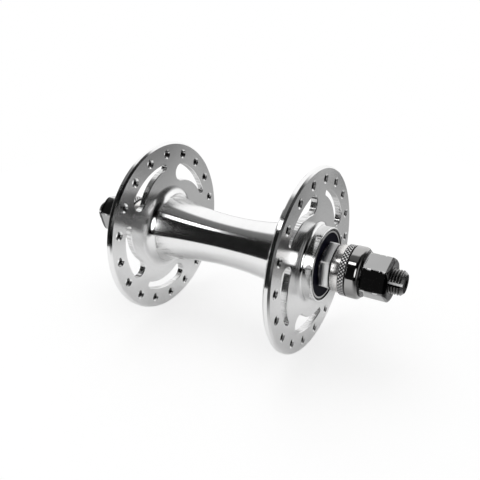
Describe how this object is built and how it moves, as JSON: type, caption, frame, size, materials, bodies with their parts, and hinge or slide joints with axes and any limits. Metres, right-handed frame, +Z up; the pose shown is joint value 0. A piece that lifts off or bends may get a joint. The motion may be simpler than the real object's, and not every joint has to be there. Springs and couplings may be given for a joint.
{
  "type": "bicycle front hub",
  "caption": "High-flange track bicycle front hub with slotted flanges, spoke holes, sealed bearings, threaded axle and track nuts with captive washers.",
  "frame": {"origin": "centre of the hub, on the axle's axis midway between the flanges", "axes": "+Y along the axle towards the left end, +Z up, +X completes the right-handed set; the right end points to -Y"},
  "size_m": [0.071, 0.138, 0.071],
  "materials": {
    "shell_aluminium": "polished",
    "axle_steel": "dark, satin",
    "race_steel": "ground",
    "ball_steel": "polished",
    "cage_plastic": "matt",
    "seal_rubber": "matt",
    "nut_steel": "satin",
    "washer_steel": "dark",
    "nut_chrome": "polished",
    "washer_chrome": "polished"
  },
  "bodies": {
    "axle_set": {"axle": "axle_steel", "right_inner_race": "race_steel", "left_inner_race": "race_steel", "right_cone_nut": "nut_steel", "left_cone_nut": "nut_steel", "right_tab_washer": "washer_steel", "left_tab_washer": "washer_steel", "right_locknut": "nut_chrome", "left_locknut": "nut_chrome"},
    "shell": {"hub_shell": "shell_aluminium", "right_outer_race": "race_steel", "left_outer_race": "race_steel", "right_outer_seal": "seal_rubber", "left_outer_seal": "seal_rubber", "right_inner_seal": "seal_rubber", "left_inner_seal": "seal_rubber"},
    "right_balls": {"right_bearing_balls": "ball_steel", "right_ball_cage": "cage_plastic"},
    "left_balls": {"left_bearing_balls": "ball_steel", "left_ball_cage": "cage_plastic"},
    "right_washer": {"right_captive_washer": "washer_chrome"},
    "left_washer": {"left_captive_washer": "washer_chrome"},
    "right_nut": {"right_track_nut": "nut_chrome"},
    "left_nut": {"left_track_nut": "nut_chrome"}
  },
  "joints": [
    {"name": "shell_spin", "type": "hinge", "parent": "axle_set", "child": "shell", "pos_m": [0, 0, 0], "axis": [0, 1, 0], "continuous": true},
    {"name": "right_ball_orbit", "type": "hinge", "parent": "axle_set", "child": "right_balls", "pos_m": [0, -0.0357, 0], "axis": [0, 1, 0], "continuous": true},
    {"name": "left_ball_orbit", "type": "hinge", "parent": "axle_set", "child": "left_balls", "pos_m": [0, 0.0357, 0], "axis": [0, 1, 0], "continuous": true},
    {"name": "right_washer_slide", "type": "slide", "parent": "axle_set", "child": "right_washer", "axis": [0, -1, 0], "range_m": [0, 0.007]},
    {"name": "left_washer_slide", "type": "slide", "parent": "axle_set", "child": "left_washer", "axis": [0, 1, 0], "range_m": [0, 0.007]},
    {"name": "right_nut_turn", "type": "hinge", "parent": "right_washer", "child": "right_nut", "pos_m": [0, -0.0586, 0], "axis": [0, -1, 0], "range_deg": [0, 2520]},
    {"name": "left_nut_turn", "type": "hinge", "parent": "left_washer", "child": "left_nut", "pos_m": [0, 0.0586, 0], "axis": [0, 1, 0], "range_deg": [0, 2520]}
  ],
  "couplings": [
    {"joint": "right_ball_orbit", "follows": "shell_spin", "ratio": 0.6322},
    {"joint": "left_ball_orbit", "follows": "shell_spin", "ratio": 0.6322},
    {"joint": "right_washer_slide", "follows": "right_nut_turn", "m_per_rad": 0.00015915},
    {"joint": "left_washer_slide", "follows": "left_nut_turn", "m_per_rad": 0.00015915}
  ]
}
